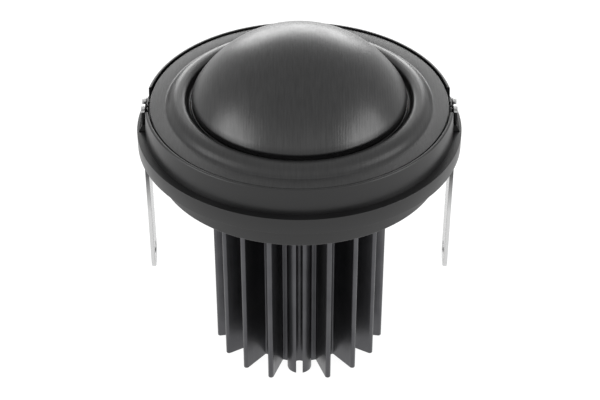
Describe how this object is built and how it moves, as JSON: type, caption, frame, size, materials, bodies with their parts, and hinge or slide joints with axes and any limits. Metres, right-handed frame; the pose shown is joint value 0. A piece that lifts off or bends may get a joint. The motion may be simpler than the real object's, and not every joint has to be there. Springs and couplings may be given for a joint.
{
  "type": "car tweeter",
  "caption": "Soft-dome car tweeter: rolled surround in a black flanged housing, a flat blade terminal at each side, and a radial-fin heat sink below.",
  "frame": {"origin": "on the axis, at the bottom of the heat sink", "axes": "+Z along the axis towards the dome; the terminals stand at +X and -X"},
  "size_m": [0.042, 0.042, 0.0475],
  "materials": {
    "black_plastic": "satin black moulded plastic",
    "coated_cloth": "black cloth with a damping coat, soft sheen",
    "dome_cloth": "black woven cloth with a damping coat, soft sheen",
    "former_film": "dark film",
    "coil_wire": "enamelled copper wire",
    "copper": "satin copper",
    "steel": "zinc-plated steel",
    "black_steel": "black-plated steel",
    "nickel_plate": "nickel plate",
    "felt": "grey wool felt",
    "plug_rubber": "black rubber",
    "pad_rubber": "grey thermal pad",
    "black_anodised": "black anodised extrusion",
    "terminal_tin": "tin-plated brass strip",
    "lead_wire": "black sleeved tinsel lead",
    "solder": "bright solder"
  },
  "bodies": {
    "frame": {"front_housing": "black_plastic", "diaphragm_ring": "black_plastic", "surround": "coated_cloth", "copper_cap": "copper", "pole_plate": "steel", "magnet": "nickel_plate", "yoke": "black_steel", "pole_felt": "felt", "chamber_felt": "felt", "chamber_plug": "plug_rubber", "thermal_pad": "pad_rubber", "heatsink": "black_anodised", "heatsink_screw_front": "steel", "heatsink_screw_rear": "steel", "terminal_left": "terminal_tin", "terminal_right": "terminal_tin", "terminal_insulator_left": "black_plastic", "terminal_insulator_right": "black_plastic", "lead_wire_left": "lead_wire", "lead_wire_right": "lead_wire", "solder_joint_left": "solder", "solder_joint_right": "solder"},
    "diaphragm": {"dome": "dome_cloth", "coil_former": "former_film", "voice_coil": "coil_wire"}
  },
  "joints": [
    {"name": "diaphragm_travel", "type": "slide", "parent": "frame", "child": "diaphragm", "axis": [0, 0, 1], "range_m": [-0.0005, 0.0005], "stiffness_N_per_m": 11000, "deforming": ["surround", "lead_wire_left", "lead_wire_right"]}
  ]
}
